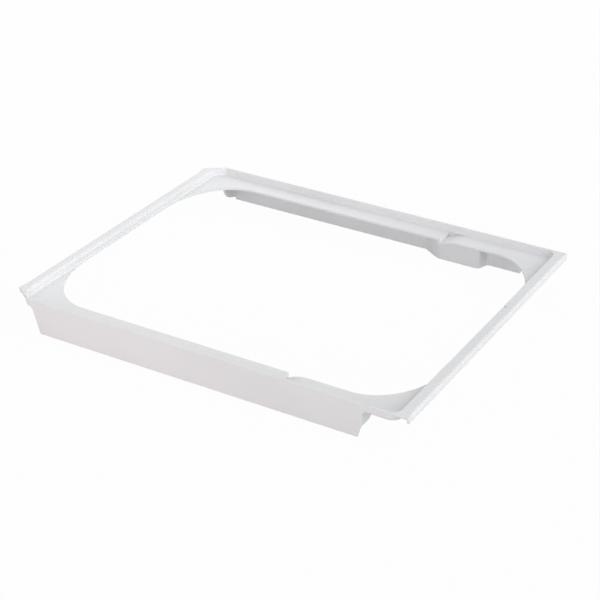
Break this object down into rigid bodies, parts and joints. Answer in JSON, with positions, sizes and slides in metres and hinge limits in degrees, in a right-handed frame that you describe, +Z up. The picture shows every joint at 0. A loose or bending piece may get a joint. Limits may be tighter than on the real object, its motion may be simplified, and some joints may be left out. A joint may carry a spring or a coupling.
{
  "type": "refrigerator drawer carriage",
  "caption": "Open rectangular frame moulded in white plastic, with a recessed ledge and a hanging skirt along each side, that carries a refrigerator drawer.",
  "frame": {"origin": "middle of the frame in plan, level with the lower edge of the side skirts", "axes": "+X along the side rails towards the front bar, +Y across the frame to the far rail, +Z up"},
  "size_m": [0.42, 0.347, 0.0345],
  "materials": {
    "white_plastic": "satin, as moulded"
  },
  "bodies": {
    "root": {"carriage_frame": "white_plastic"}
  },
  "joints": []
}
